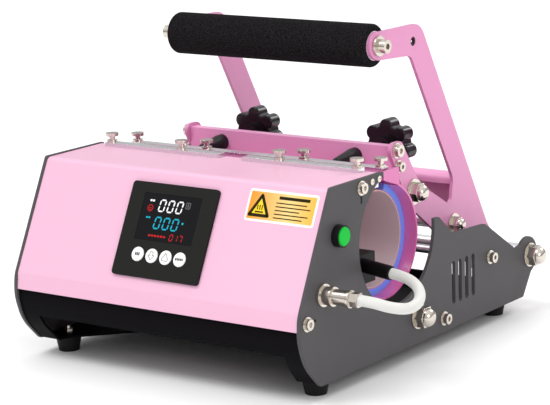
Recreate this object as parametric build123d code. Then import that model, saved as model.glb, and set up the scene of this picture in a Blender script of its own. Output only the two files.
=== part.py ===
from build123d import *
import math
import os

# Tumbler heat press, in millimetres. X runs from left to right, Y from front to back and Z up.
# The drawing's Y = 0 is near the front feet; save() moves the press so that the origin is
# the middle of its footprint, on the surface that it stands on.

# Driving dimensions: frame
WIDTH = 300.0
PLATE = 3.0
SHEET = 2.0
FRONT_EDGE = -36.0
REAR_EDGE = 344.3
PLATE_BOTTOM = 12.8
PLATE_TOP = 171.0
FOOT_HEIGHT = 13.0
FOOT_TOP_RADIUS = 11.5
FOOT_BOTTOM_RADIUS = 9.0
FOOT_X = 131.6
FOOT_Y = (11.0, 295.0)

# Driving dimensions: heating element and its shells
CAVITY_Y = 109.0
CAVITY_Z = 107.0
CAVITY_RADIUS = 40.5
HEATING_SHEET = 1.4
MAT_RADIUS = 48.0
SHELL_RADIUS = 50.0
MAT_HALF_LENGTH = 126.0
SHELL_HALF_LENGTH = 138.0
FRONT_PAD_END = 61.2
REAR_PAD_END = 68.0
REAR_SHEET_END = 86.0
FLANGE_OFFSET = 21.0
PLATE_CUT_Z = 112.0
PLATE_CUT_RADIUS = 58.0

# Driving dimensions: front cover and control panel
COVER_TOP = 170.0
COVER_LIP = (-34.6, 63.0)
COVER_LOW_FOLD = (-33.0, 77.0)
COVER_HIGH_FOLD = (13.4, COVER_TOP)
COVER_REAR = 86.0
PANEL_WIDTH = 90.0
PANEL_HEIGHT = 81.0
PANEL_THICKNESS = 2.5
WINDOW_WIDTH = 60.0
WINDOW_HEIGHT = 40.6
WINDOW_RISE = 11.2
BUTTON_RADIUS = 6.1
BUTTON_PITCH = 14.6
BUTTON_DROP = 21.4

# Driving dimensions: pivots, as (Y, Z)
REAR_AXLE = (330.0, 50.0)
LOWER_AXLE = (138.0, 37.0)
LINK_PIVOT = (195.7, 130.0)
PAD_PIVOT = (135.3, 164.0)
REAR_AXLE_RADIUS = 6.0
LOWER_AXLE_RADIUS = 5.0
RUNNING_GAP = 0.05

# Driving dimensions: lever, link and knobs
ARM_INNER = 104.6
ARM_OUTER = 107.6
LINK_INNER = 107.9
LINK_OUTER = 111.2
GRIP = (149.0, 263.7)
GRIP_RADIUS = 18.5
GRIP_TUBE_RADIUS = 12.5
GRIP_HALF_LENGTH = 104.5
KNOB_X = 72.0
KNOB_RADIUS = 17.7
KNOB_LOBES = 7
STUD_RADIUS = 4.0
WEB_FRONT = 165.0
LEVER_ROD = (267.4, 87.0)
ELBOW_SCREW = (205.2, 260.3)
LINK_BOLTS = ((169.8, 170.8), (172.0, 156.6))

# Driving dimensions: heater lead, a limp sleeved cable from the boot to the plug
LEAD_RADIUS = 4.5
BOOT_AXIS = (74.0, 93.0)
SOCKET_AXIS = (-3.5, 87.5)
LEAD_ROUTE = [
    (170.5, 67.0, 92.2),
    (179.0, 66.8, 91.2),
    (188.0, 65.0, 89.8),
    (197.0, 60.5, 88.0),
    (205.5, 53.0, 85.8),
    (213.0, 42.5, 83.4),
    (219.0, 28.5, 81.3),
    (219.5, 13.5, 80.6),
    (210.5, 1.5, 83.6),
    (198.0, -3.5, 87.5),
    (186.0, -3.5, 87.5),
]

# Fastener places on the side plates, as (Y, Z)
TIE_RODS = ((259.4, 62.6), (180.0, 25.0))
COVER_SCREWS = ((-25.5, 68.5), (55.9, 163.0))
BRACKET_SCREWS = ((71.9, 165.2), (82.3, 165.8))
POST_X = (52.0, 130.0)
HALF = WIDTH / 2
INNER = HALF - PLATE


# ---------- helpers ----------

def save(node, *pieces):
    solids = [Pos(0, -DEPTH_CENTRE, 0) * solid for piece in pieces for solid in piece.solids()]
    shape = solids[0] if len(solids) == 1 else Compound(solids)
    export_step(shape, f"parts/{node}.step")


def outline(corners):
    """A closed face from (y, z, corner radius) rows."""
    points = [(y, z) for y, z, _ in corners]
    radii = [radius for _, _, radius in corners]
    return make_face(FilletPolyline(*points, radius=radii, close=True))


def along_x(face, low, high):
    """Extrude a face drawn in (y, z) from x = low to x = high."""
    return Pos(low, 0, 0) * extrude(Plane.YZ * face, amount=high - low)


def x_rod(place, radius, low, high):
    return along_x(Pos(*place) * Circle(radius), low, high)


def x_box(y_range, z_range, low, high):
    width = y_range[1] - y_range[0]
    height = z_range[1] - z_range[0]
    middle = ((y_range[0] + y_range[1]) / 2, (z_range[0] + z_range[1]) / 2)
    return along_x(Pos(*middle) * Rectangle(width, height), low, high)


def y_rod(x, z, radius, low, high):
    return Pos(x, (low + high) / 2, z) * Rot(90, 0, 0) * Cylinder(radius, high - low)


def z_rod(x, y, radius, low, high):
    return Pos(x, y, (low + high) / 2) * Cylinder(radius, high - low)


def mirrored(piece):
    return mirror(piece, about=Plane.YZ)


def inset(points, distance):
    """Move an open chain of (y, z) points sideways, to the right of its direction."""
    lines = []
    for (y0, z0), (y1, z1) in zip(points, points[1:]):
        length = math.hypot(y1 - y0, z1 - z0)
        shift = ((z1 - z0) * distance / length, (y0 - y1) * distance / length)
        lines.append(((y0 + shift[0], z0 + shift[1]), (y1 + shift[0], z1 + shift[1])))
    moved = [lines[0][0]]
    for (a, b), (c, d) in zip(lines, lines[1:]):
        cross = (b[0] - a[0]) * (d[1] - c[1]) - (b[1] - a[1]) * (d[0] - c[0])
        along = ((c[0] - a[0]) * (d[1] - c[1]) - (c[1] - a[1]) * (d[0] - c[0])) / cross
        moved.append((a[0] + along * (b[0] - a[0]), a[1] + along * (b[1] - a[1])))
    return moved + [lines[-1][1]]


def bent_sheet(corners, low, high, thickness=SHEET):
    """A folded sheet from its outer line, as (y, z, bend radius) rows, with the sheet on the right."""
    points = inset([(y, z) for y, z, _ in corners], thickness / 2)
    radii = [radius for _, _, radius in corners[1:-1]]
    path = FilletPolyline(*points, radius=radii)
    return along_x(trace(path, line_width=thickness), low, high)


def arc_band(inner, outer, start, end):
    """Part of a ring about the cavity's axis, between two angles from the rear, in degrees."""
    centre = (CAVITY_Y, CAVITY_Z)
    outer_arc = CenterArc(centre, outer, start, end - start)
    inner_arc = CenterArc(centre, inner, start, end - start)
    sides = [Line(inner_arc @ 0, outer_arc @ 0), Line(inner_arc @ 1, outer_arc @ 1)]
    return make_face(Wire([outer_arc, inner_arc] + sides))


def socket_screw(place, seat, head_radius, head_length, shank_radius, shank_length):
    head = x_rod(place, head_radius, seat, seat + head_length)
    shank = x_rod(place, shank_radius, seat - shank_length, seat)
    recess = Pos(*place) * RegularPolygon(head_radius * 0.5, 6)
    depth = head_length * 0.6
    return head + shank - along_x(recess, seat + head_length - depth, seat + head_length)


def washer(place, outer, inner, seat, thickness):
    return x_rod(place, outer, seat, seat + thickness) - x_rod(place, inner, seat, seat + thickness)


def cap_nut(place, seat, corner_radius, height, bore, bore_depth):
    """A domed hexagon nut whose flat side sits at x = seat."""
    hexagon = along_x(Pos(*place) * RegularPolygon(corner_radius, 6), seat, seat + height)
    dome_radius = corner_radius * 0.82
    dome = x_rod(place, dome_radius, seat + height / 2, seat + height + dome_radius * 0.8)
    dome = fillet(dome.edges().group_by(Axis.X)[-1], dome_radius * 0.75)
    return hexagon + dome - x_rod(place, bore, seat, seat + bore_depth)


# ---------- side plates ----------

def side_profile():
    corners = [
        (13.0, PLATE_TOP, 3.0),
        (89.3, PLATE_TOP - 0.3, 1.5),
        (89.3, PLATE_CUT_Z, 0.0),
        (160.0, PLATE_CUT_Z, 0.0),
        (161.0, 116.0, 0.0),
        (174.5, 115.8, 3.5),
        (197.0, 97.0, 16.0),
        (251.5, 94.4, 8.0),
        (305.0, 60.6, 8.0),
        (322.0, 63.0, 0.0),
        (341.0, 45.0, 0.0),
        (318.5, PLATE_BOTTOM, 3.0),
        (-8.0, PLATE_BOTTOM, 4.0),
        (-29.0, 34.0, 50.0),
        (FRONT_EDGE, 58.0, 40.0),
        (-34.5, 75.0, 28.0),
    ]
    lobe = Pos(REAR_AXLE[0] - 3.0, REAR_AXLE[1]) * Circle(REAR_EDGE - REAR_AXLE[0] + 3.0)
    mug_cut = Pos(CAVITY_Y, PLATE_CUT_Z) * Circle(PLATE_CUT_RADIUS)
    return outline(corners) + lobe - mug_cut


PROFILE_BOX = side_profile().bounding_box()
DEPTH_CENTRE = (PROFILE_BOX.min.X + PROFILE_BOX.max.X) / 2


def plate_holes():
    holes = [x_rod(REAR_AXLE, REAR_AXLE_RADIUS, INNER, HALF)]
    holes.append(x_rod(LOWER_AXLE, LOWER_AXLE_RADIUS, INNER, HALF))
    holes += [x_rod(place, 2.5, INNER, HALF) for place in TIE_RODS + COVER_SCREWS]
    holes += [x_rod(place, 1.5, INNER, HALF) for place in BRACKET_SCREWS]
    first, second = COVER_SCREWS
    holes.append(x_box((first[0], first[0] + 13.0), (first[1] - 1.2, first[1] + 1.2), INNER, HALF))
    holes.append(x_box((second[0] - 1.2, second[0] + 1.2), (second[1] - 13.0, second[1]), INNER, HALF))
    return holes


def vent_slots():
    slots = []
    for index in range(4):
        y = 197.0 + 11.0 * index
        shape = Pos(y, 53.0) * Rot(0, 0, 90) * SlotOverall(38.0, 5.5)
        slots.append(along_x(shape, INNER, HALF))
    return slots


def side_plate(extra_holes):
    plate = along_x(side_profile(), INNER, HALF)
    for hole in plate_holes() + vent_slots() + extra_holes:
        plate -= hole
    return plate


GREEN_AXIS = (20.3, 130.9)
INLET = ((-4.0, 23.5), (60.0, 108.0))
ROCKER = ((14.0, 27.0), (122.0, 141.0))


def make_side_plates():
    right_holes = [x_rod(GREEN_AXIS, 8.0, INNER, HALF), x_rod(SOCKET_AXIS, 8.0, INNER, HALF)]
    left_holes = [x_box(*INLET, INNER, HALF), x_box(*ROCKER, INNER, HALF)]
    save("right_side_plate", side_plate(right_holes))
    save("left_side_plate", mirrored(side_plate(left_holes)))


# ---------- front cover, base tray and shelf ----------

SLOPE_Y = COVER_HIGH_FOLD[0] - COVER_LOW_FOLD[0]
SLOPE_Z = COVER_HIGH_FOLD[1] - COVER_LOW_FOLD[1]
SLOPE_LENGTH = math.hypot(SLOPE_Y, SLOPE_Z)
NORMAL = (0, -SLOPE_Z / SLOPE_LENGTH, SLOPE_Y / SLOPE_LENGTH)
PANEL_CENTRE_RISE = 51.7


def slope_plane(x, rise):
    """A plane on the cover's sloped face: local X along X, local Y up the slope."""
    y = COVER_LOW_FOLD[0] + SLOPE_Y * rise / SLOPE_LENGTH
    z = COVER_LOW_FOLD[1] + SLOPE_Z * rise / SLOPE_LENGTH
    return Plane(origin=(x, y, z), x_dir=(1, 0, 0), z_dir=NORMAL)


def slope_block(plane, shape, low, high):
    """Extrude a shape on a slope plane between two heights above the cover."""
    return plane * Pos(0, 0, low) * extrude(shape, amount=high - low)


PANEL = slope_plane(0.0, PANEL_CENTRE_RISE)
HOUSING_WIDTH = 80.0
HOUSING_HEIGHT = 71.0


def make_front_cover():
    outer = [(*COVER_LIP, 0.0), (*COVER_LOW_FOLD, 6.0), (*COVER_HIGH_FOLD, 4.0), (COVER_REAR, COVER_TOP, 0.0)]
    cover = bent_sheet(outer, -INNER, INNER)
    cover -= slope_block(PANEL, Rectangle(HOUSING_WIDTH, HOUSING_HEIGHT), -12.0, 4.0)
    save("front_cover", cover)


def make_frame_brackets():
    """Blocks that the cover's screws and the front shell's screws go into."""
    low_y, low_z = COVER_SCREWS[0]
    high_y, high_z = COVER_SCREWS[1]
    low = x_box((low_y - 4.0, low_y + 12.0), (61.0, 75.0), INNER - 12.0, INNER)
    high = x_box((high_y - 9.0, high_y + 5.0), (156.0, COVER_TOP - SHEET), INNER - 12.0, INNER)
    shell = x_box((67.5, 86.0), (158.0, FRONT_FLANGE_Z), SHELL_HALF_LENGTH - 4.0, INNER)
    low -= x_rod(COVER_SCREWS[0], 2.5, INNER - 8.0, INNER)
    high -= x_rod(COVER_SCREWS[1], 2.5, INNER - 8.0, INNER)
    for place in BRACKET_SCREWS:
        shell -= x_rod(place, 1.5, INNER - 7.0, INNER)
    right = [low, high, shell]
    save("frame_brackets", *right, *[mirrored(block) for block in right])


def make_base_tray():
    outer = [
        (312.0, 27.0, 0.0),
        (312.0, FOOT_HEIGHT, 3.0),
        (-7.5, FOOT_HEIGHT, 6.0),
        (-28.0, 35.0, 44.0),
        (-33.8, 57.5, 24.0),
        (-31.5, 66.0, 0.0),
    ]
    tray = bent_sheet(outer, -INNER, INNER)
    arch = [(-133.0, -60.0, 0.0), (133.0, -60.0, 0.0), (125.0, 2.0, 12.0), (72.0, 57.0, 40.0),
            (-72.0, 57.0, 40.0), (-125.0, 2.0, 12.0)]
    tray -= Pos(0, 0, 1.0) * extrude(outline(arch), amount=39.0)
    for x in (-FOOT_X, FOOT_X):
        for y in FOOT_Y:
            tray -= z_rod(x, y, 2.5, 10.0, 20.0)
    save("base_tray", tray)


def make_shelf():
    """The closed floor of the electronics space, between the skirt and the front shell."""
    outer = [(58.0, 60.0, 0.0), (58.0, 52.0, 3.0), (-27.0, 52.0, 3.0), (-27.0, 60.0, 0.0)]
    save("electronics_shelf", bent_sheet(outer, -INNER, INNER))


def make_feet():
    feet = []
    bolts = []
    for x in (-FOOT_X, FOOT_X):
        for y in FOOT_Y:
            foot = Pos(x, y, FOOT_HEIGHT / 2) * Cone(FOOT_BOTTOM_RADIUS, FOOT_TOP_RADIUS, FOOT_HEIGHT)
            foot -= z_rod(x, y, 5.0, 0.0, 5.0)
            foot -= z_rod(x, y, 2.5, 5.0, FOOT_HEIGHT)
            feet.append(foot)
            bolt = z_rod(x, y, 4.4, 2.0, 5.0) + z_rod(x, y, 2.5, 5.0, 22.0)
            bolt += Pos(x, y, 15.0) * extrude(RegularPolygon(4.6, 6), amount=4.0)
            bolts.append(bolt)
    save("rubber_feet", *feet)
    save("foot_bolts", *bolts)


# ---------- heating element and shells ----------

def shell_face(flange_span, flange_z):
    """Rear shell section: half ring, upright at the top and a flange folded over the cavity's mouth."""
    band = arc_band(MAT_RADIUS, SHELL_RADIUS, -89.5, 64.5)
    upright_y = CAVITY_Y + FLANGE_OFFSET
    foot = CAVITY_Z + math.sqrt(MAT_RADIUS ** 2 - FLANGE_OFFSET ** 2) + 0.1
    top = flange_z + SHEET
    upright = Pos(upright_y + SHEET / 2, (foot + top) / 2) * Rectangle(SHEET, top - foot)
    low, high = flange_span
    flange = Pos((low + high) / 2, flange_z + SHEET / 2) * Rectangle(high - low, SHEET)
    return band + upright + flange


def front_of(face):
    """Mirror a section face about the cavity's upright middle plane."""
    return Pos(2 * CAVITY_Y, 0) * mirror(face, about=Plane.YZ)


REAR_FLANGE_Z = 162.5
FRONT_FLANGE_Z = COVER_TOP - 2 * SHEET


def make_shells():
    rear = along_x(shell_face((106.0, 132.0), REAR_FLANGE_Z), -SHELL_HALF_LENGTH, SHELL_HALF_LENGTH)
    corners = [(108.0, 158.5, 0.0), (131.0, 150.5, 0.0), (131.0, 166.0, 0.0), (108.0, 166.0, 0.0)]
    cheek = along_x(outline(corners), SHELL_HALF_LENGTH - SHEET, SHELL_HALF_LENGTH)
    rear += cheek + mirrored(cheek)
    front = along_x(front_of(shell_face((130.0, 144.0), FRONT_FLANGE_Z)), -SHELL_HALF_LENGTH, SHELL_HALF_LENGTH)
    save("rear_half_shell", rear)
    save("front_half_shell", front)


def make_heater():
    """Each half of the mat is a heating sheet on a silicone pad."""
    sheet_outer = CAVITY_RADIUS + HEATING_SHEET
    rear = [arc_band(CAVITY_RADIUS, sheet_outer, -89.4, REAR_SHEET_END)]
    rear.append(arc_band(sheet_outer, MAT_RADIUS, -89.4, REAR_PAD_END))
    front = [front_of(arc_band(CAVITY_RADIUS, sheet_outer, -89.4, FRONT_PAD_END))]
    front.append(front_of(arc_band(sheet_outer, MAT_RADIUS, -89.4, FRONT_PAD_END)))
    save("rear_heater", *[along_x(face, -MAT_HALF_LENGTH, MAT_HALF_LENGTH) for face in rear])
    save("front_heater", *[along_x(face, -MAT_HALF_LENGTH, MAT_HALF_LENGTH) for face in front])


def post(x, y, base, height):
    """A spring post: flange, waist and wide pan head."""
    waist = z_rod(x, y, 2.6, base, base + height - 0.6)
    head = z_rod(x, y, 5.8, base + height - 2.6, base + height)
    return waist + z_rod(x, y, 4.6, base, base + 2.0) + head


def clamp_bar(y, base, low, high):
    bar = Box(high - low, 10.0, 3.5)
    return Pos((low + high) / 2, y, base + 1.75) * bar


def make_clamp_bars():
    front_base = COVER_TOP
    rear_base = REAR_FLANGE_Z + SHEET
    right = clamp_bar(80.5, front_base, 16.0, 134.0)
    left = clamp_bar(80.5, front_base, -134.0, -9.0)
    save("front_clamp_bars", right, left)
    save("rear_clamp_bar", clamp_bar(116.0, rear_base, -134.0, 134.0))
    places = [x for distance in POST_X for x in (-distance, distance)]
    save("front_bar_posts", *[post(x, 80.5, front_base + 3.5, 8.2) for x in places])
    save("rear_bar_posts", *[post(x, 116.0, rear_base + 3.5, 8.0) for x in places])


def make_clamp_hinge():
    corners = [(127.5, 40.0, 0.0), (147.0, 31.0, 0.0), (166.0, 84.0, 3.0), (120.0, 84.0, 0.0), (120.0, 56.0, 0.0)]
    arm = outline(corners) + Pos(*LOWER_AXLE) * Circle(11.0)
    arm -= Pos(CAVITY_Y, CAVITY_Z) * Circle(SHELL_RADIUS)
    arm -= Pos(*LOWER_AXLE) * Circle(LOWER_AXLE_RADIUS + RUNNING_GAP)
    right = along_x(arm, 96.0, 100.0)
    save("clamp_hinge_arms", right, mirrored(right))


# ---------- axles, tie rods and plate fasteners ----------

WASHER = 1.6
NUT_HEIGHT = 8.0


def axle(place, radius):
    end = HALF + WASHER + NUT_HEIGHT
    return x_rod(place, radius, -end, end)


def make_axles():
    save("frame_axles", axle(REAR_AXLE, REAR_AXLE_RADIUS), axle(LOWER_AXLE, LOWER_AXLE_RADIUS))
    nuts = []
    for place, radius in ((REAR_AXLE, REAR_AXLE_RADIUS), (LOWER_AXLE, LOWER_AXLE_RADIUS)):
        nut = cap_nut(place, HALF + WASHER, 9.8, NUT_HEIGHT, radius, NUT_HEIGHT)
        nuts += [nut, mirrored(nut)]
    save("axle_cap_nuts", *nuts)
    tube = x_rod(REAR_AXLE, 9.0, ARM_OUTER + 0.7, INNER) - x_rod(REAR_AXLE, REAR_AXLE_RADIUS, ARM_OUTER, INNER)
    save("axle_spacers", tube, mirrored(tube))


def make_tie_rods():
    rods = []
    for place in TIE_RODS:
        rod = x_rod(place, 4.0, -INNER, INNER)
        rod -= x_rod(place, 2.5, INNER - 14.0, INNER)
        rod -= x_rod(place, 2.5, -INNER, -INNER + 14.0)
        rods.append(rod)
    save("tie_rods", *rods)


def bracket_screw(place):
    screw = x_rod(place, 2.7, HALF, HALF + 0.8) + x_rod(place, 1.5, INNER - 7.0, HALF)
    slot = x_box((place[0] - 2.2, place[0] + 2.2), (place[1] - 0.4, place[1] + 0.4), HALF + 0.3, HALF + 0.8)
    return screw - slot


def make_plate_fasteners():
    screws = [bracket_screw(place) for place in BRACKET_SCREWS]
    washers = [washer(REAR_AXLE, 11.0, REAR_AXLE_RADIUS, HALF, WASHER)]
    washers.append(washer(LOWER_AXLE, 11.0, LOWER_AXLE_RADIUS, HALF, WASHER))
    screws += [socket_screw(place, HALF + 1.0, 4.6, 4.6, 2.5, PLATE + 9.0) for place in TIE_RODS]
    screws += [socket_screw(place, HALF + 1.0, 4.6, 3.0, 2.5, PLATE + 9.0) for place in COVER_SCREWS]
    for place in TIE_RODS + COVER_SCREWS:
        washers.append(washer(place, 6.2, 2.5, HALF, 1.0))
    save("plate_screws", *screws, *[mirrored(screw) for screw in screws])
    save("plate_washers", *washers, *[mirrored(disc) for disc in washers])


# ---------- control panel and electrics ----------

BUTTON_NAMES = ("set_button", "down_button", "up_button", "enter_button")


def button_x(index):
    return (index - 1.5) * BUTTON_PITCH


def make_control_panel():
    face = fillet(Rectangle(PANEL_WIDTH, PANEL_HEIGHT).vertices(), 3.0)
    bezel = slope_block(PANEL, face, 0.0, PANEL_THICKNESS)
    window = Pos(0, WINDOW_RISE) * Rectangle(WINDOW_WIDTH, WINDOW_HEIGHT)
    window_low = PANEL_THICKNESS - 1.5
    window_high = PANEL_THICKNESS - 0.3
    bezel -= slope_block(PANEL, window, window_low, PANEL_THICKNESS)
    for index in range(4):
        hole = Pos(button_x(index), -BUTTON_DROP) * Circle(BUTTON_RADIUS + 0.2)
        bezel -= slope_block(PANEL, hole, 0.0, PANEL_THICKNESS)
    save("control_panel", bezel)
    save("display_window", slope_block(PANEL, window, window_low, window_high))
    for index, name in enumerate(BUTTON_NAMES):
        place = Pos(button_x(index), -BUTTON_DROP)
        cap = slope_block(PANEL, place * Circle(BUTTON_RADIUS), 0.0, PANEL_THICKNESS + 0.9)
        stem = slope_block(PANEL, place * Circle(2.5), -3.0, 0.0)
        save(name, chamfer(cap.edges().group_by(Axis((0, 0, 0), NORMAL))[-1], 0.4) + stem)


def make_controller():
    outer = Rectangle(HOUSING_WIDTH, HOUSING_HEIGHT)
    inner = Rectangle(HOUSING_WIDTH - 4.0, HOUSING_HEIGHT - 4.0)
    housing = slope_block(PANEL, outer, -26.0, 0.0) - slope_block(PANEL, inner, -24.0, 0.0)
    save("controller_housing", housing)
    save("controller_board", slope_block(PANEL, inner, -6.0, -4.4))


def make_label():
    label = fillet(Rectangle(68.0, 27.0).vertices(), 2.5)
    save("info_label", slope_block(slope_plane(107.5, 84.0), label, 0.0, 0.3))


def make_relay():
    relay = Pos(-60.0, 16.0, 54.0 + 12.0) * Box(45.0, 58.0, 24.0)
    for y in (-8.0, 40.0):
        relay -= Pos(-60.0, y, 76.0) * Box(36.0, 12.0, 8.0)
    save("solid_state_relay", relay)


def make_power_entry():
    """Mains inlet and rocker switch, on the left plate."""
    flange = x_box((INLET[0][0] - 4.0, INLET[0][1] + 4.0), (INLET[1][0] - 6.0, INLET[1][1] + 6.0), HALF, HALF + 2.5)
    body = x_box(*INLET, HALF - 26.0, HALF)
    mouth = x_box((-1.5, 21.0), (70.0, 98.0), HALF - 17.0, HALF + 2.5)
    pins = [x_box((9.0 + dy - 1.0, 9.0 + dy + 1.0), (z - 2.0, z + 2.0), HALF - 17.0, HALF - 1.0)
            for dy, z in ((-4.0, 77.0), (4.0, 84.0), (-4.0, 91.0))]
    inlet = flange + body - mouth
    for pin in pins:
        inlet += pin
    save("power_inlet", mirrored(inlet))
    rim = x_box((ROCKER[0][0] - 2.0, ROCKER[0][1] + 2.0), (ROCKER[1][0] - 2.0, ROCKER[1][1] + 2.0), HALF, HALF + 2.0)
    frame = rim + x_box(*ROCKER, HALF - 18.0, HALF)
    frame -= x_box((ROCKER[0][0] + 1.0, ROCKER[0][1] - 1.0), (ROCKER[1][0] + 1.0, ROCKER[1][1] - 1.0),
                   HALF - 8.0, HALF + 2.0)
    save("power_switch_frame", mirrored(frame))
    half_height = (ROCKER[1][1] - ROCKER[1][0]) / 2 - 2.1
    middle = (ROCKER[1][0] + ROCKER[1][1]) / 2
    profile = Polyline((HALF - 3.5, middle - half_height), (HALF + 3.6, middle - half_height + 0.6),
                       (HALF + 1.2, middle), (HALF + 1.0, middle + half_height - 0.4),
                       (HALF - 3.5, middle + half_height - 1.4), close=True)
    rocker = extrude(Plane.XZ * make_face(profile), amount=-(ROCKER[0][1] - ROCKER[0][0] - 2.6))
    save("power_rocker", mirrored(Pos(0, ROCKER[0][0] + 1.3, 0) * rocker))


def make_green_button():
    bezel = x_rod(GREEN_AXIS, 9.2, HALF, HALF + 6.5) + x_rod(GREEN_AXIS, 8.0, HALF - 24.0, HALF)
    bezel -= x_rod(GREEN_AXIS, 8.0, HALF + 0.2, HALF + 6.5)
    save("green_button_bezel", bezel)
    cap = x_rod(GREEN_AXIS, 7.8, HALF + 2.4, HALF + 7.6)
    save("green_button_cap", fillet(cap.edges().group_by(Axis.X)[-1], 1.0))


# ---------- heater socket, plug, boot and lead ----------

def make_heater_connector():
    socket = x_rod(SOCKET_AXIS, 9.4, HALF, HALF + 3.0) + x_rod(SOCKET_AXIS, 7.6, HALF + 3.0, HALF + 8.0)
    socket += x_rod(SOCKET_AXIS, 8.0, INNER - 12.0, HALF)
    save("heater_socket", socket)
    end = LEAD_ROUTE[-1][0]
    plug = x_rod(SOCKET_AXIS, 8.0, HALF + 8.0, HALF + 12.0) + x_rod(SOCKET_AXIS, 6.4, HALF + 12.0, HALF + 26.0)
    plug += x_rod(SOCKET_AXIS, 7.2, HALF + 26.0, HALF + 28.0)
    plug += along_x(Pos(*SOCKET_AXIS) * RegularPolygon(6.4, 6), HALF + 28.0, end)
    save("heater_plug", plug)


def make_boot():
    """A block on the mat's end and a neck that slopes down to the lead."""
    start = MAT_HALF_LENGTH
    high = start + 16.0
    block = x_box((BOOT_AXIS[0] - 13.0, BOOT_AXIS[0] + 12.0), (BOOT_AXIS[1] - 14.0, BOOT_AXIS[1] + 11.0), start, high)
    block = block & x_rod((CAVITY_Y, CAVITY_Z), MAT_RADIUS - 0.2, start, high)
    tip = Vector(*LEAD_ROUTE[0])
    along = Vector(*LEAD_ROUTE[1]) - tip
    length = tip.X - high + 2.0
    neck = Plane(origin=tip, z_dir=along) * Pos(0, 0, -length / 2) * Cylinder(6.0, length)
    neck = fillet(neck.edges().group_by(Axis.X)[-1], 1.2)
    save("lead_boot", block + neck)


def corner_radii(route):
    """Each corner's arc is as large as its two runs allow."""
    radii = []
    for before, corner, after in zip(route, route[1:], route[2:]):
        run_in = Vector(*corner) - Vector(*before)
        run_out = Vector(*after) - Vector(*corner)
        half_turn = math.radians(run_in.get_angle(run_out)) / 2
        radii.append(0.45 * min(run_in.length, run_out.length) / math.tan(half_turn))
    return radii


def make_lead():
    radii = corner_radii(LEAD_ROUTE)
    path = FilletPolyline(*LEAD_ROUTE, radius=radii)
    start = Plane(origin=path @ 0, z_dir=path % 0)
    lead = sweep(start * Circle(LEAD_RADIUS), path=path)
    expected = math.pi * LEAD_RADIUS ** 2 * path.length
    print("lead length", round(path.length, 1), "corner radii", [round(radius, 1) for radius in radii])
    print("lead volume over section times length", round(lead.volume / expected, 4))
    save("heater_lead", lead)


# ---------- lever ----------

GRIP_WASHER = 3.0

def lever_profile():
    corners = [
        (GRIP[0] - 8.0, GRIP[1] + 11.7, 6.0),
        (217.4, 275.0, 19.0),
        (326.4, 77.4, 8.0),
        (341.0, 58.0, 12.0),
        (338.0, 36.5, 12.0),
        (305.0, 36.5, 12.0),
        (189.0, 121.0, 0.0),
        (LINK_PIVOT[0], LINK_PIVOT[1], 0.0),
        (202.6, 139.2, 0.0),
        (263.5, 104.5, 5.0),
        (268.5, 128.5, 14.0),
        (201.5, 248.4, 9.0),
        (GRIP[0] - 8.0, 251.6, 6.0),
    ]
    eye = Pos(*LINK_PIVOT) * Circle(11.5)
    tip = Pos(*GRIP) * Circle(11.7)
    body = outline(corners) + eye
    front = Pos(GRIP[0] - 20.0, GRIP[1]) * Rectangle(40.0, 40.0)
    return body - front + tip


def make_lever_arms():
    arm = along_x(lever_profile(), ARM_INNER, ARM_OUTER)
    arm -= x_rod(REAR_AXLE, 8.0, ARM_INNER, ARM_OUTER)
    arm -= x_rod(LINK_PIVOT, 7.0, ARM_INNER, ARM_OUTER)
    arm -= x_rod(LEVER_ROD, 4.0, ARM_INNER, ARM_OUTER)
    arm -= x_rod(GRIP, 4.0, ARM_INNER, ARM_OUTER)
    arm -= x_rod(ELBOW_SCREW, 4.0, ARM_INNER, ARM_OUTER)
    save("right_lever_arm", arm)
    save("left_lever_arm", mirrored(arm))
    bush = x_rod(REAR_AXLE, 8.0, ARM_INNER - 3.0, ARM_OUTER + 0.4)
    bush -= x_rod(REAR_AXLE, REAR_AXLE_RADIUS + RUNNING_GAP, ARM_INNER - 3.0, ARM_OUTER + 0.4)
    eye = x_rod(LINK_PIVOT, 7.0, ARM_INNER - 4.0, ARM_OUTER) + x_rod(LINK_PIVOT, 9.5, ARM_INNER - 4.0, ARM_INNER)
    eye -= x_rod(LINK_PIVOT, 5.0, ARM_INNER - 4.0, ARM_OUTER)
    save("lever_bushes", bush, mirrored(bush), eye, mirrored(eye))


def make_lever_braces():
    plate = bent_sheet([(271.0, 122.0, 0.0), (271.0, 130.5, 4.0), (291.0, 130.5, 4.0), (297.0, 98.0, 0.0)],
                       -ARM_INNER, ARM_INNER, thickness=3.0)
    save("lever_cross_plate", plate)
    end = ARM_OUTER + WASHER + 6.0
    rod = x_rod(LEVER_ROD, 6.0, -ARM_INNER, ARM_INNER) + x_rod(LEVER_ROD, 4.0, -end, end)
    save("lever_tie_rod", rod)


def make_lever_fasteners():
    set_screw = x_rod(ELBOW_SCREW, 4.0, ARM_INNER, ARM_OUTER - 0.6)
    set_screw -= along_x(Pos(*ELBOW_SCREW) * RegularPolygon(2.6, 6), ARM_OUTER - 3.0, ARM_OUTER)
    grip_seat = ARM_OUTER + GRIP_WASHER
    grip_bolt = socket_screw(GRIP, grip_seat, 5.8, 7.5, 4.0, grip_seat - ARM_INNER + 11.0)
    nut = cap_nut(LEVER_ROD, ARM_OUTER + WASHER, 7.0, 5.5, 4.0, 6.0)
    washers = [washer(LEVER_ROD, 9.5, 4.0, ARM_OUTER, WASHER)]
    washers.append(washer(GRIP, 8.8, 4.0, ARM_OUTER, GRIP_WASHER))
    save("elbow_set_screws", set_screw, mirrored(set_screw))
    save("lever_bolts", grip_bolt, mirrored(grip_bolt))
    save("lever_cap_nuts", nut, mirrored(nut))
    save("lever_washers", *washers, *[mirrored(disc) for disc in washers])


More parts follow.
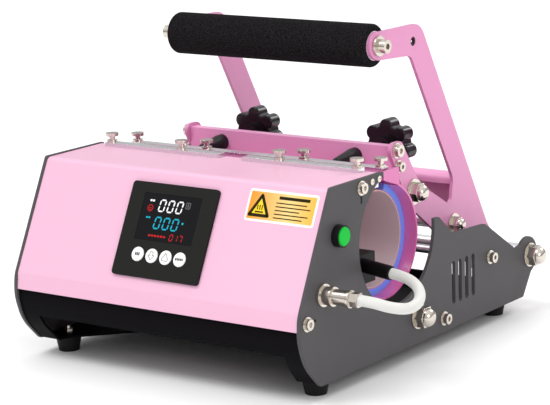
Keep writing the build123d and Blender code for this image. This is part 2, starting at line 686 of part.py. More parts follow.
def make_grip():
    foam = x_rod(GRIP, GRIP_RADIUS, -GRIP_HALF_LENGTH, GRIP_HALF_LENGTH)
    ends = foam.edges().filter_by(GeomType.CIRCLE)
    foam = fillet(ends, 3.5) - x_rod(GRIP, GRIP_TUBE_RADIUS, -GRIP_HALF_LENGTH, GRIP_HALF_LENGTH)
    save("foam_grip", foam)
    tube = x_rod(GRIP, GRIP_TUBE_RADIUS, -ARM_INNER, ARM_INNER)
    tube -= x_rod(GRIP, GRIP_TUBE_RADIUS - 2.0, -ARM_INNER + 14.0, ARM_INNER - 14.0)
    tube -= x_rod(GRIP, 4.0, ARM_INNER - 12.0, ARM_INNER)
    tube -= x_rod(GRIP, 4.0, -ARM_INNER, -ARM_INNER + 12.0)
    save("grip_tube", tube)


# ---------- link with crossbar, pads and knobs ----------

CROSSBAR_TOP = 175.0
CROSSBAR_BOTTOM = 152.0
WEB = 3.0
PAD_RADIUS = 7.0
PAD_TAPER = 24.0
PAD_TIP_RADIUS = 3.2


def make_crossbar():
    web = x_box((WEB_FRONT, WEB_FRONT + WEB), (CROSSBAR_BOTTOM, CROSSBAR_TOP), -LINK_INNER, LINK_INNER)
    top = x_box((WEB_FRONT, WEB_FRONT + 9.0), (CROSSBAR_TOP - WEB, CROSSBAR_TOP), -LINK_INNER, LINK_INNER)
    end = x_box((WEB_FRONT, WEB_FRONT + 12.0), (CROSSBAR_BOTTOM, CROSSBAR_TOP), LINK_INNER - WEB, LINK_INNER)
    bar = web + top + end + mirrored(end)
    for x in (-KNOB_X, KNOB_X):
        bar -= y_rod(x, PAD_PIVOT[1], PAD_RADIUS + 0.1, WEB_FRONT - 1.0, WEB_FRONT + WEB)
    for place in LINK_BOLTS:
        bar -= x_rod(place, 2.5, -LINK_INNER, -LINK_INNER + 12.0)
        bar -= x_rod(place, 2.5, LINK_INNER - 12.0, LINK_INNER)
    save("crossbar", bar)


def crossbar_nuts():
    nuts = []
    for x in (-KNOB_X, KNOB_X):
        nut = Pos(x, WEB_FRONT + WEB, PAD_PIVOT[1]) * Rot(-90, 0, 0) * extrude(RegularPolygon(8.0, 6), amount=7.0)
        nuts.append(nut - y_rod(x, PAD_PIVOT[1], STUD_RADIUS + RUNNING_GAP, WEB_FRONT, WEB_FRONT + 12.0))
    return nuts


def make_link_plates():
    ends = (Pos(*LINK_PIVOT) * Circle(12.0)).edges()
    ends += (Pos(167.0, 171.5) * Circle(6.5)).edges()
    ends += (Pos(174.5, 171.5) * Circle(6.5)).edges()
    plate = along_x(make_hull(ends), LINK_INNER, LINK_OUTER)
    plate -= x_rod(LINK_PIVOT, 5.0, LINK_INNER, LINK_OUTER)
    for place in LINK_BOLTS:
        plate -= x_rod(place, 2.5, LINK_INNER, LINK_OUTER)
    save("link_plates", plate, mirrored(plate))


def make_link_fasteners():
    """The big pivot bolts end flush with the link plates' inner faces."""
    seat = LINK_OUTER + WASHER
    pieces = [x_rod(LINK_PIVOT, 5.0, LINK_INNER, seat + 6.5)]
    pieces.append(cap_nut(LINK_PIVOT, seat, 8.9, 6.5, 5.0, 6.5))
    pieces.append(washer(LINK_PIVOT, 11.5, 5.0, LINK_OUTER, WASHER))
    for place, head in zip(LINK_BOLTS, (5.4, 4.4)):
        bolt = socket_screw(place, LINK_OUTER + 1.0, head, 4.0, 2.5, LINK_OUTER - LINK_INNER + 1.0 + WEB)
        pieces.append(bolt + washer(place, head + 1.4, 2.5, LINK_OUTER, 1.0))
    save("link_bolts_and_nuts", *pieces, *[mirrored(piece) for piece in pieces], *crossbar_nuts())


def pressure_pad(x):
    """A hollow stud end that tapers to a ball, whose centre is the pad pivot."""
    y, z = PAD_PIVOT
    ball = Pos(x, y, z) * Sphere(PAD_TIP_RADIUS)
    taper = Pos(x, y + PAD_TAPER / 2, z) * Rot(-90, 0, 0) * Cone(PAD_TIP_RADIUS, PAD_RADIUS, PAD_TAPER)
    barrel = y_rod(x, z, PAD_RADIUS, y + PAD_TAPER, WEB_FRONT)
    bore = y_rod(x, z, STUD_RADIUS + RUNNING_GAP, y + PAD_TAPER - 1.0, WEB_FRONT + 2.0)
    return ball + taper + barrel - bore


def star_knob(x):
    """A lobed hand knob with its hub towards the crossbar."""
    lobes = Circle(KNOB_RADIUS + 1.0)
    for index in range(KNOB_LOBES):
        angle = 2 * math.pi * index / KNOB_LOBES + math.pi / 2
        lobes += Pos(KNOB_RADIUS * math.cos(angle), KNOB_RADIUS * math.sin(angle)) * Circle(6.6)
    head = extrude(lobes, amount=15.0)
    head = fillet(head.edges().group_by(Axis.Z)[0] + head.edges().group_by(Axis.Z)[-1], 1.6)
    head += Pos(0, 0, 19.0) * Cylinder(9.5, 8.0)
    head -= Cylinder(8.0, 4.0)
    head -= Pos(0, 0, 14.0) * Cylinder(STUD_RADIUS, 20.0)
    return Pos(x, 228.0, PAD_PIVOT[1]) * Rot(90, 0, 0) * head


def make_knobs():
    for side, x in (("left", -KNOB_X), ("right", KNOB_X)):
        stud = y_rod(x, PAD_PIVOT[1], STUD_RADIUS, PAD_PIVOT[0] + PAD_TAPER + 2.5, 224.0)
        save(f"{side}_star_knob", star_knob(x), stud)
        save(f"{side}_pressure_pad", pressure_pad(x))


# ---------- build ----------

os.makedirs("parts", exist_ok=True)
print("the origin is at drawing Y", round(DEPTH_CENTRE, 4))
make_side_plates()
make_front_cover()
make_frame_brackets()
make_base_tray()
make_shelf()
make_feet()
make_shells()
make_heater()
make_clamp_bars()
make_clamp_hinge()
make_axles()
make_tie_rods()
make_plate_fasteners()
make_control_panel()
make_controller()
make_label()
make_relay()
make_power_entry()
make_green_button()
make_heater_connector()
make_boot()
make_lead()
make_lever_arms()
make_lever_braces()
make_lever_fasteners()
make_grip()
make_crossbar()
make_link_plates()
make_link_fasteners()
make_knobs()
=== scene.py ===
import math

import bpy
from mathutils import Matrix, Vector


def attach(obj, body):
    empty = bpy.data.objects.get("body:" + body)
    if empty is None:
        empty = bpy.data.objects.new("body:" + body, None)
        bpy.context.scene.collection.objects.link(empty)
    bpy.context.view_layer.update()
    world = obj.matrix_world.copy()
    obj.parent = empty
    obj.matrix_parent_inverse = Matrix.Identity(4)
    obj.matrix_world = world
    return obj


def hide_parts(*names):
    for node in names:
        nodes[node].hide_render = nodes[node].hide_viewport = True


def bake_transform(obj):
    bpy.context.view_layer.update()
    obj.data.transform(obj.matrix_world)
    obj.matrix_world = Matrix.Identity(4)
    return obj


# Looks of the tumbler heat press. Lengths are in millimetres, as in the CAD drawing, and at()
# turns a place into metres in the frame that the CAD model and Blender share. The scale of a
# noise or wave texture is in features a metre.

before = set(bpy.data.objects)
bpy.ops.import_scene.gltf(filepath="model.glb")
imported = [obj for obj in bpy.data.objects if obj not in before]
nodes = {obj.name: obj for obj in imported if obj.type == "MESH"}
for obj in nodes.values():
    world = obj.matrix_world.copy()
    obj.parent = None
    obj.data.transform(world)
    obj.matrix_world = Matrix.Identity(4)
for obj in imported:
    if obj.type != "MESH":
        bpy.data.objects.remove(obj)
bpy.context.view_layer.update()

DEPTH_CENTRE = 154.4032

CAVITY = (109.0, 107.0)
MAT_HALF_LENGTH = 126.0

COVER_LOW_FOLD = (-33.0, 77.0)
COVER_HIGH_FOLD = (13.4, 170.0)
PANEL_CENTRE = (0.0, 51.7)
PANEL_FACE = 2.5
WINDOW_FACE = 2.2
BUTTON_DROP = 21.4
BUTTON_PITCH = 14.6
BUTTON_STAND = 0.9
LABEL_CENTRE = (107.5, 84.0)
LABEL_FACE = 0.3

LEAD_DIAMETER = 9.0
LEAD_ROUTE = [
    (170.5, 67.0, 92.2),
    (179.0, 66.8, 91.2),
    (188.0, 65.0, 89.8),
    (197.0, 60.5, 88.0),
    (205.5, 53.0, 85.8),
    (213.0, 42.5, 83.4),
    (219.0, 28.5, 81.3),
    (219.5, 13.5, 80.6),
    (210.5, 1.5, 83.6),
    (198.0, -3.5, 87.5),
    (186.0, -3.5, 87.5),
]


def at(x, y, z):
    return Vector((x, y - DEPTH_CENTRE, z)) / 1000


# ---------- materials ----------

def linear(colour):
    """Linear RGBA from 8-bit sRGB."""
    values = [c / 255 for c in colour]
    return tuple(v / 12.92 if v <= 0.04045 else ((v + 0.055) / 1.055) ** 2.4 for v in values) + (1.0,)


def shader_of(made):
    return made.node_tree.nodes["Principled BSDF"]


def material(name, colour, roughness, metallic=0.0, coat=0.0, gloss=0.5):
    made = bpy.data.materials.new(name)
    made.use_nodes = True
    shader = shader_of(made)
    shader.inputs["Base Color"].default_value = linear(colour)
    shader.inputs["Roughness"].default_value = roughness
    shader.inputs["Metallic"].default_value = metallic
    shader.inputs["Specular IOR Level"].default_value = gloss
    shader.inputs["Coat Weight"].default_value = coat
    shader.inputs["Coat Roughness"].default_value = 0.15
    return made


def noise(tree, scale, detail):
    """Noise from 0 to 1, laid out in object space."""
    place = tree.nodes.new("ShaderNodeTexCoord")
    texture = tree.nodes.new("ShaderNodeTexNoise")
    texture.inputs["Scale"].default_value = scale
    texture.inputs["Detail"].default_value = detail
    tree.links.new(place.outputs["Object"], texture.inputs["Vector"])
    return texture.outputs["Fac"]


def uneven(made, scale, low, high):
    """Roughness that drifts between two values over the surface."""
    tree = made.node_tree
    span = tree.nodes.new("ShaderNodeMapRange")
    span.inputs["To Min"].default_value = low
    span.inputs["To Max"].default_value = high
    tree.links.new(noise(tree, scale, 4.0), span.inputs["Value"])
    tree.links.new(span.outputs["Result"], shader_of(made).inputs["Roughness"])


def grain(made, scale, depth, edge=0.0):
    """A fine surface grain, with edges that look rounded to the radius called edge."""
    tree = made.node_tree
    bump = tree.nodes.new("ShaderNodeBump")
    bump.inputs["Strength"].default_value = 1.0
    bump.inputs["Distance"].default_value = depth / 1000
    tree.links.new(noise(tree, scale, 3.0), bump.inputs["Height"])
    if edge:
        bevel = tree.nodes.new("ShaderNodeBevel")
        bevel.samples = 4
        bevel.inputs["Radius"].default_value = edge / 1000
        tree.links.new(bevel.outputs["Normal"], bump.inputs["Normal"])
    tree.links.new(bump.outputs["Normal"], shader_of(made).inputs["Normal"])


def surface(name, colour, roughness, grained, **settings):
    """A material with a grain of (scale, depth, edge).

    Its roughness is one value, or drifts with (scale, low, high).
    """
    if isinstance(roughness, tuple):
        made = material(name, colour, sum(roughness[1:]) / 2, **settings)
        uneven(made, *roughness)
    else:
        made = material(name, colour, roughness, **settings)
    grain(made, *grained)
    return made


def speckle(made, scale, low, high):
    """Fine spots of colour between two shades."""
    tree = made.node_tree
    ramp = tree.nodes.new("ShaderNodeValToRGB")
    for element, position, shade in zip(ramp.color_ramp.elements, (0.35, 0.68), (low, high)):
        element.position = position
        element.color = linear(shade)
    tree.links.new(noise(tree, scale, 2.0), ramp.inputs["Fac"])
    tree.links.new(ramp.outputs["Color"], shader_of(made).inputs["Base Color"])


def glow(made, strength):
    shader = shader_of(made)
    shader.inputs["Emission Color"].default_value = shader.inputs["Base Color"].default_value
    shader.inputs["Emission Strength"].default_value = strength
    return made


PINK_DRIFT = (30, 0.34, 0.46)
PINK_GRAIN = (900, 0.03, 0.6)
POWDER_GRAIN = (1500, 0.06, 0.5)

cover_pink = surface("cover_pink", (232, 180, 206), PINK_DRIFT, PINK_GRAIN, coat=0.15)
lever_pink = surface("lever_pink", (219, 141, 186), PINK_DRIFT, PINK_GRAIN, coat=0.2)
bar_pink = surface("bar_pink", (236, 160, 204), PINK_DRIFT, PINK_GRAIN, coat=0.15)
shell_pink = surface("shell_pink", (212, 104, 168), (30, 0.2, 0.32), (500, 0.02, 0.4), coat=0.4)
plate_grey = surface("plate_grey", (80, 78, 80), (40, 0.42, 0.56), POWDER_GRAIN, gloss=0.15)
tray_black = surface("tray_black", (11, 9, 12), (40, 0.5, 0.62), POWDER_GRAIN, gloss=0.04)
nickel = surface("nickel", (212, 204, 194), (60, 0.14, 0.26), (300, 0.01, 0.4), metallic=1.0)
steel = surface("steel", (226, 226, 228), (60, 0.22, 0.36), (300, 0.02, 0.4), metallic=1.0)
black_steel = surface("black_steel", (26, 25, 27), 0.35, (300, 0.01, 0.3), metallic=0.6)
bronze = surface("bronze", (176, 134, 84), 0.35, (300, 0.01, 0.3), metallic=1.0)
black_plastic = surface("black_plastic", (20, 18, 20), 0.4, (1200, 0.03, 0.4), gloss=0.25)
knob_plastic = surface("knob_plastic", (20, 9, 16), (90, 0.14, 0.3), (400, 0.03, 0.6), coat=0.2, gloss=0.3)
panel_black = surface("panel_black", (34, 34, 33), 0.5, (2200, 0.02, 0.4), gloss=0.06)
window_black = material("window_black", (22, 22, 25), 0.25, gloss=0.08)
button_white = surface("button_white", (244, 244, 244), 0.3, (500, 0.01, 0.4), coat=0.3)
button_green = surface("button_green", (0, 182, 56), 0.3, (500, 0.01, 0.4), gloss=0.1)
# Painted light: a faint emission makes the green cap brighter than the lamps alone would light it.
glow(button_green, 0.08)
label_white = material("label_white", (250, 248, 244), 0.4, coat=0.3)
foam = surface("foam", (25, 24, 25), 0.95, (1400, 0.4), gloss=0.05)
speckle(foam, 800, (13, 12, 13), (38, 36, 38))
rubber = surface("rubber", (20, 19, 20), 0.6, (900, 0.05, 0.5), gloss=0.2)
boot_black = surface("boot_black", (13, 12, 13), 0.35, (300, 0.08, 0.8), gloss=0.12)
board_green = material("board_green", (18, 92, 48), 0.4)
heater_inner = surface("heater_inner", (200, 178, 182), (80, 0.42, 0.58), (700, 0.04))
heater_orange = material("heater_orange", (200, 122, 84), 0.6)
silicone_blue = surface("silicone_blue", (112, 142, 240), 0.42, (500, 0.04))

PAINT = {
    cover_pink: ["front_cover"],
    lever_pink: ["left_lever_arm", "right_lever_arm", "link_plates"],
    bar_pink: ["crossbar", "lever_cross_plate"],
    shell_pink: ["front_half_shell", "rear_half_shell"],
    plate_grey: ["left_side_plate", "right_side_plate"],
    tray_black: ["base_tray", "electronics_shelf"],
    steel: ["frame_brackets", "front_clamp_bars", "rear_clamp_bar", "clamp_hinge_arms", "tie_rods",
            "lever_tie_rod", "grip_tube", "frame_axles", "axle_spacers"],
    nickel: ["axle_cap_nuts", "plate_screws", "plate_washers", "front_bar_posts", "rear_bar_posts",
             "foot_bolts", "lever_bolts", "lever_cap_nuts", "lever_washers", "link_bolts_and_nuts",
             "heater_socket", "heater_plug"],
    bronze: ["lever_bushes"],
    black_steel: ["elbow_set_screws"],
    black_plastic: ["controller_housing", "power_inlet", "power_switch_frame", "power_rocker",
                    "solid_state_relay", "left_pressure_pad", "right_pressure_pad",
                    "green_button_bezel"],
    knob_plastic: ["left_star_knob", "right_star_knob"],
    panel_black: ["control_panel"],
    window_black: ["display_window"],
    button_white: ["set_button", "down_button", "up_button", "enter_button"],
    button_green: ["green_button_cap"],
    label_white: ["info_label"],
    foam: ["foam_grip"],
    rubber: ["rubber_feet"],
    boot_black: ["lead_boot"],
    board_green: ["controller_board"],
}


def paint(obj, made):
    obj.data.materials.clear()
    obj.data.materials.append(made)


for made, names in PAINT.items():
    for name in names:
        paint(nodes[name], made)


# ---------- pieces made here ----------

def add_object(name, data):
    obj = bpy.data.objects.new(name, data)
    bpy.context.scene.collection.objects.link(obj)
    return obj


def add_mesh(name, points, faces, made):
    mesh = bpy.data.meshes.new(name)
    mesh.from_pydata(points, [], faces)
    mesh.validate()
    obj = add_object(name, mesh)
    paint(obj, made)
    return obj


def crease(obj, angle=30.0):
    """Smooth shading that keeps corners sharper than the angle."""
    bpy.ops.object.select_all(action="DESELECT")
    obj.select_set(True)
    bpy.context.view_layer.objects.active = obj
    bpy.ops.object.shade_smooth_by_angle(angle=math.radians(angle))


# The heating mat is one flexible strip of three layers, which bends at the bottom. Angles go
# around the cavity in degrees: 0 points to the rear, 90 up.

FRONT_EDGE = -241.2
SHEET_REAR_EDGE = 86.0
PAD_REAR_EDGE = 68.0
SHEET_INNER = 40.5
SHEET_OUTER = 41.3
BOND_OUTER = 41.9
PAD_OUTER = 48.0
MAT_STEPS = 120


def mat_layer(name, inner, outer, rear_edge, made):
    """A strip around the cavity from its rear edge, under the bottom, to its front edge."""
    points, faces = [], []
    for step in range(MAT_STEPS + 1):
        angle = math.radians(rear_edge + (FRONT_EDGE - rear_edge) * step / MAT_STEPS)
        for x in (-MAT_HALF_LENGTH, MAT_HALF_LENGTH):
            for radius in (inner, outer):
                y = CAVITY[0] + radius * math.cos(angle)
                points.append(at(x, y, CAVITY[1] + radius * math.sin(angle)))
    for step in range(MAT_STEPS):
        here, ahead = 4 * step, 4 * (step + 1)
        for a, b in ((0, 2), (2, 3), (3, 1), (1, 0)):
            faces.append((here + a, here + b, ahead + b, ahead + a))
    last = 4 * MAT_STEPS
    faces += [(0, 1, 3, 2), (last, last + 2, last + 3, last + 1)]
    layer = add_mesh(name, points, faces, made)
    crease(layer)
    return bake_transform(layer)


mat_layer("heater_sheet", SHEET_INNER, SHEET_OUTER, SHEET_REAR_EDGE, heater_inner)
mat_layer("heater_bond", SHEET_OUTER, BOND_OUTER, SHEET_REAR_EDGE, heater_orange)
pad = mat_layer("heater_pad", BOND_OUTER, PAD_OUTER, PAD_REAR_EDGE, silicone_blue)
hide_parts("front_heater", "rear_heater")


# The heater lead is a limp sleeved cable from the boot to the plug.

STRAND_TURN = 0.7
STRAND_SCALE = 420
STRAND_DEPTH = 0.2


def strands(tree, place, turn):
    """One set of parallel strands, turned by an angle in radians about all three axes."""
    spin = tree.nodes.new("ShaderNodeMapping")
    spin.inputs["Rotation"].default_value = (turn, turn, turn)
    tree.links.new(place.outputs["Object"], spin.inputs["Vector"])
    wave = tree.nodes.new("ShaderNodeTexWave")
    wave.inputs["Scale"].default_value = STRAND_SCALE
    tree.links.new(spin.outputs["Vector"], wave.inputs["Vector"])
    return wave.outputs["Fac"]


def sleeve_material():
    """Woven glass sleeve: two fine crossing sets of strands."""
    made = material("sleeve", (222, 221, 217), 0.7)
    tree = made.node_tree
    place = tree.nodes.new("ShaderNodeTexCoord")
    weave = tree.nodes.new("ShaderNodeMath")
    weave.operation = "MULTIPLY"
    for factor, turn in zip(weave.inputs, (STRAND_TURN, -STRAND_TURN)):
        tree.links.new(strands(tree, place, turn), factor)
    bump = tree.nodes.new("ShaderNodeBump")
    bump.inputs["Distance"].default_value = STRAND_DEPTH / 1000
    tree.links.new(weave.outputs[0], bump.inputs["Height"])
    tree.links.new(bump.outputs["Normal"], shader_of(made).inputs["Normal"])
    return made


def make_lead():
    curve = bpy.data.curves.new("lead", "CURVE")
    curve.dimensions = "3D"
    spline = curve.splines.new("NURBS")
    spline.points.add(len(LEAD_ROUTE) - 1)
    for point, place in zip(spline.points, LEAD_ROUTE):
        point.co = (*at(*place), 1.0)
    spline.order_u = 3
    spline.use_endpoint_u = True
    spline.resolution_u = 12
    curve.bevel_depth = LEAD_DIAMETER / 2000
    curve.bevel_resolution = 8
    curve.use_fill_caps = True
    lead = add_object("lead", curve)
    lead.data.materials.append(sleeve_material())
    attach(lead, "frame")
    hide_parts("heater_lead")


make_lead()


# Flat marks on the sloped face: display digits, button signs and the label's print.

SLOPE = Vector((0, COVER_HIGH_FOLD[0] - COVER_LOW_FOLD[0], COVER_HIGH_FOLD[1] - COVER_LOW_FOLD[1]))
SLOPE.normalize()
OUTWARD = Vector((0, -SLOPE.z, SLOPE.y))
MARK_THICKNESS = 0.06


def on_slope(x, rise, lift):
    """A point on the cover's sloped face: x, distance up from the low fold, height above it."""
    return at(x, *COVER_LOW_FOLD) + (SLOPE * rise + OUTWARD * lift) / 1000


def marks(name, shapes, centre, lift, made, body):
    """Thin raised shapes, each a list of (x, y) corners about a centre on the slope."""
    points, faces = [], []
    for shape in shapes:
        base = len(points)
        count = len(shape)
        for height in (lift, lift + MARK_THICKNESS):
            points += [on_slope(centre[0] + x, centre[1] + y, height) for x, y in shape]
        faces.append(tuple(base + i for i in reversed(range(count))))
        faces.append(tuple(base + count + i for i in range(count)))
        for i in range(count):
            j = (i + 1) % count
            faces.append((base + i, base + j, base + count + j, base + count + i))
    obj = add_mesh(name, points, faces, made)
    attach(obj, body)


def bar(x, y, width, height):
    """A rectangle about its centre."""
    half_w, half_h = width / 2, height / 2
    return [(x - half_w, y - half_h), (x + half_w, y - half_h),
            (x + half_w, y + half_h), (x - half_w, y + half_h)]


def bar_row(x, y, count, pitch, width, height):
    """Equal bars side by side, the first centred on (x, y)."""
    return [bar(x + pitch * i, y, width, height) for i in range(count)]


def disc(x, y, radius, count=24):
    turns = [2 * math.pi * i / count for i in range(count)]
    return [(x + radius * math.cos(turn), y + radius * math.sin(turn)) for turn in turns]


def stroke(start, end, width):
    """A straight line of a given width."""
    along = Vector((end[0] - start[0], end[1] - start[1])).normalized()
    side = Vector((-along.y, along.x)) * width / 2
    return [(start[0] - side.x, start[1] - side.y), (end[0] - side.x, end[1] - side.y),
            (end[0] + side.x, end[1] + side.y), (start[0] + side.x, start[1] + side.y)]


def loop(corners, width):
    """The outline of a polygon as strokes, with a disc over each corner."""
    shapes = [stroke(a, b, width) for a, b in zip(corners, corners[1:] + corners[:1])]
    return shapes + [disc(x, y, width / 2, 8) for x, y in corners]


def pointed(start, end, thick):
    """A digit's segment with pointed ends."""
    along = Vector((end[0] - start[0], end[1] - start[1])).normalized() * thick / 2
    side = Vector((-along.y, along.x))
    a, b = Vector(start), Vector(end)
    corners = [a, a + along - side, b - along - side, b, b - along + side, a + along + side]
    return [(p.x, p.y) for p in corners]


LEAN = 0.12


def leaning(shape, base):
    """Lean a shape to the right with its height above a base line."""
    return [(x + LEAN * (y - base), y) for x, y in shape]


SEGMENTS = {"0": "abcdef", "1": "bc", "7": "abc"}


def digit(character, x, y, size, thick):
    """Seven-segment digit with its lower left corner at (x, y)."""
    right, top, middle = x + size[0], y + size[1], y + size[1] / 2
    gap = thick * 0.25
    ends = {
        "a": ((x + gap, top), (right - gap, top)),
        "b": ((right, middle + gap), (right, top - gap)),
        "c": ((right, y + gap), (right, middle - gap)),
        "d": ((x + gap, y), (right - gap, y)),
        "e": ((x, y + gap), (x, middle - gap)),
        "f": ((x, middle + gap), (x, top - gap)),
    }
    return [leaning(pointed(*ends[segment], thick), y) for segment in SEGMENTS[character]]


def number(text, corner, size, pitch, thick):
    """Digits of one size from the lower left corner on, a pitch apart."""
    shapes = []
    for index, character in enumerate(text):
        shapes += digit(character, corner[0] + index * pitch, corner[1], size, thick)
    return shapes


def lit(name, colour, strength):
    return glow(material(name, colour, 0.5, gloss=0.1), strength)


def on_screen(name, shapes, made):
    marks(name, shapes, PANEL_CENTRE, WINDOW_FACE, made, "frame")


def make_display():
    """Two rows of three digits with small signs beside them, and a count with its bar below."""
    white = lit("lit_white", (214, 214, 214), 0.45)
    cyan = lit("lit_cyan", (20, 140, 160), 0.6)
    red = lit("lit_red", (158, 26, 28), 0.6)
    grey = lit("lit_grey", (96, 96, 96), 0.3)
    on_screen("actual_value", number("000", (-12.6, 16.8), (5.3, 9.6), 9.0, 1.25), white)
    on_screen("set_value", number("000", (-13.6, 1.9), (5.5, 9.6), 9.2, 1.25), cyan)
    on_screen("press_count", number("017", (5.6, -6.9), (3.0, 5.2), 4.9, 0.8), red)
    on_screen("count_bar", bar_row(-15.4, -4.4, 6, 3.1, 2.3, 1.6), red)
    heat_ring = loop(disc(-21.2, 18.7, 2.6, 16), 0.8)
    on_screen("heat_sign", heat_ring + [bar(-21.2, 18.7, 2.2, 0.8), bar(-21.2, 17.4, 2.2, 0.5)], red)
    on_screen("actual_sign", bar_row(-22.0, 25.2, 2, 2.6, 2.0, 1.6), white)
    unit_box = loop([(15.0, 21.6), (19.0, 21.6), (19.0, 26.4), (15.0, 26.4)], 0.6)
    on_screen("unit_sign", unit_box + [bar(17.0, 24.0, 0.9, 2.8)], grey)
    on_screen("set_sign", bar_row(-22.4, 10.6, 2, 2.5, 1.9, 1.5) + [disc(15.6, 8.6, 1.0)], cyan)


def make_button_signs():
    ink = material("button_ink", (40, 40, 42), 0.5)
    arrow_down = [(0, -3.6), (3.2, 0.2), (1.5, 0.2), (1.5, 3.2), (-1.5, 3.2), (-1.5, 0.2), (-3.2, 0.2)]
    arrow_up = [(0, 3.6), (3.2, -1.2), (2.4, -3.0), (-2.4, -3.0), (-3.2, -1.2)]
    signs = {
        "set_button": bar_row(-1.7, 0, 3, 1.7, 1.3, 2.6),
        "down_button": loop(arrow_down, 0.45),
        "up_button": loop(arrow_up, 0.45),
        "enter_button": bar_row(-3.3, 0, 5, 1.65, 1.25, 2.0),
    }
    for index, (name, shapes) in enumerate(signs.items()):
        centre = (PANEL_CENTRE[0] + (index - 1.5) * BUTTON_PITCH, PANEL_CENTRE[1] - BUTTON_DROP)
        marks(name + "_sign", shapes, centre, PANEL_FACE + BUTTON_STAND, ink, name)


FIELD_HALF = (32, 11.5)
FADE_HALF_WIDTH = 30


def label_print():
    """Amber that fades to pale yellow from left to right across the label."""
    made = material("label_amber", (253, 183, 20), 0.4, coat=0.3)
    tree = made.node_tree
    place = tree.nodes.new("ShaderNodeTexCoord")
    split = tree.nodes.new("ShaderNodeSeparateXYZ")
    span = tree.nodes.new("ShaderNodeMapRange")
    span.inputs["From Min"].default_value = (LABEL_CENTRE[0] - FADE_HALF_WIDTH) / 1000
    span.inputs["From Max"].default_value = (LABEL_CENTRE[0] + FADE_HALF_WIDTH) / 1000
    ramp = tree.nodes.new("ShaderNodeValToRGB")
    ramp.color_ramp.elements[0].color = linear((236, 148, 8))
    ramp.color_ramp.elements[1].color = linear((240, 182, 66))
    middle = ramp.color_ramp.elements.new(0.62)
    middle.color = linear((240, 208, 130))
    tree.links.new(place.outputs["Object"], split.inputs["Vector"])
    tree.links.new(split.outputs["X"], span.inputs["Value"])
    tree.links.new(span.outputs["Result"], ramp.inputs["Fac"])
    tree.links.new(ramp.outputs["Color"], shader_of(made).inputs["Base Color"])
    return made


def on_label(name, shapes, lift, made):
    marks(name, shapes, LABEL_CENTRE, LABEL_FACE + lift, made, "frame")


def make_label():
    """A plain heat sign at the left and bars in place of text at the right."""
    ink = material("label_ink", (40, 32, 10), 0.5, gloss=0.1)
    yellow = material("label_yellow", (240, 206, 0), 0.45)
    half_x, half_y = FIELD_HALF
    field = [(-half_x, -half_y), (half_x, -half_y), (half_x, half_y), (-half_x, half_y)]
    on_label("label_field", [field], 0.0, label_print())
    corners = [(-30.0, -8.2), (-11.6, -8.2), (-20.8, 8.6)]
    on_label("label_triangle", loop(corners, 2.7), MARK_THICKNESS, ink)
    on_label("label_sign", [corners], MARK_THICKNESS - 0.02, yellow)
    waves = [stroke((x, -3.6), (x, 0.4), 0.9) for x in (-23.0, -20.8, -18.6)]
    on_label("label_heat", waves + [bar(-20.8, -5.4, 8.0, 1.2)], 2 * MARK_THICKNESS, ink)
    lines = [bar(11.0, 8.0, 30.0, 2.6)]
    for index, width in enumerate((30.0, 34.0, 24.0, 33.0, 28.0)):
        lines.append(bar(-6.0 + width / 2, 3.6 - 3.1 * index, width, 0.9))
    on_label("label_lines", lines, MARK_THICKNESS, ink)


make_display()
make_button_signs()
make_label()


# ---------- floor, light and camera ----------

def add_floor():
    bpy.ops.mesh.primitive_plane_add(size=8.0, location=(0, 0, 0))
    floor = bpy.context.object
    floor.name = "floor"
    paint(floor, material("floor", (250, 250, 250), 0.7))


def aim(lamp, direction):
    """Turn a lamp to shine along a direction."""
    lamp.rotation_euler = direction.to_track_quat("-Z", "Y").to_euler()


def add_area(name, place, target, size, power):
    light = bpy.data.lights.new(name, "AREA")
    light.shape = "DISK"
    light.size = size
    light.energy = power
    lamp = add_object(name, light)
    lamp.location = place
    aim(lamp, Vector(target) - Vector(place))


def add_sun(name, place, spread, strength):
    """Even soft light from one side, shining towards the origin."""
    light = bpy.data.lights.new(name, "SUN")
    light.angle = math.radians(spread)
    light.energy = strength
    aim(add_object(name, light), -Vector(place))


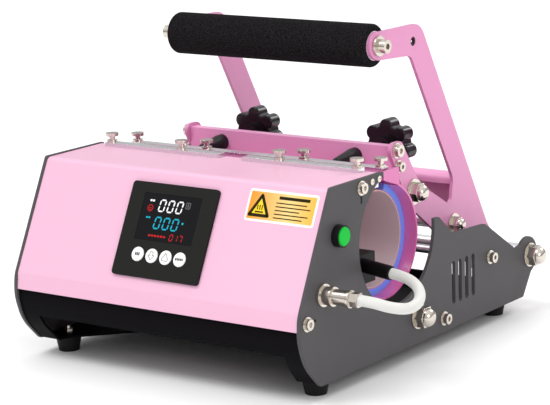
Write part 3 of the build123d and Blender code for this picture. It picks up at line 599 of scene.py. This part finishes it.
def add_world():
    """Light that grows from a dimmer horizon to a bright top, so that metal shows contrast."""
    world = bpy.data.worlds.new("studio")
    bpy.context.scene.world = world
    world.use_nodes = True
    tree = world.node_tree
    place = tree.nodes.new("ShaderNodeTexCoord")
    split = tree.nodes.new("ShaderNodeSeparateXYZ")
    ramp = tree.nodes.new("ShaderNodeValToRGB")
    tree.links.new(place.outputs["Generated"], split.inputs["Vector"])
    tree.links.new(split.outputs["Z"], ramp.inputs["Fac"])
    tree.links.new(ramp.outputs["Color"], tree.nodes["Background"].inputs["Color"])
    stops = [(0.0, 0.28), (0.1, 0.3), (0.32, 0.75), (1.0, 1.0)]
    for position, _ in stops[1:-1]:
        ramp.color_ramp.elements.new(position)
    for element, (position, level) in zip(ramp.color_ramp.elements, stops):
        element.position = position
        element.color = (level, level, level, 1.0)


CAMERA_PLACE = (1133.8, -1418.8, 532.35)
CAMERA_TURN_TILT_ROLL = (35.965, 12.077, -1.785)
CAMERA_LENS = 146.8


def add_camera():
    turn, tilt, roll = (math.radians(v) for v in CAMERA_TURN_TILT_ROLL)
    back = Vector((math.sin(turn) * math.cos(tilt), -math.cos(turn) * math.cos(tilt), math.sin(tilt)))
    level = Vector((math.cos(turn), math.sin(turn), 0))
    upright = back.cross(level)
    right = level * math.cos(roll) + upright * math.sin(roll)
    up = upright * math.cos(roll) - level * math.sin(roll)
    axes = Matrix((right, up, back)).transposed()
    data = bpy.data.cameras.new("camera")
    data.lens = CAMERA_LENS
    data.sensor_width = 36.0
    data.clip_end = 20.0
    camera = add_object("camera", data)
    camera.matrix_world = Matrix.Translation(at(*CAMERA_PLACE)) @ axes.to_4x4()
    bpy.context.scene.camera = camera


bpy.context.scene.view_settings.view_transform = "Standard"
add_floor()
add_world()
add_sun("key", (-0.35, -0.45, 1.0), 30, 1.35)
add_area("fill", (1.9, -0.9, 0.9), (0, 0, 0.1), 1.0, 9)
add_area("rim", (0.6, 1.6, 1.4), (0, 0, 0.15), 0.8, 9)
add_camera()
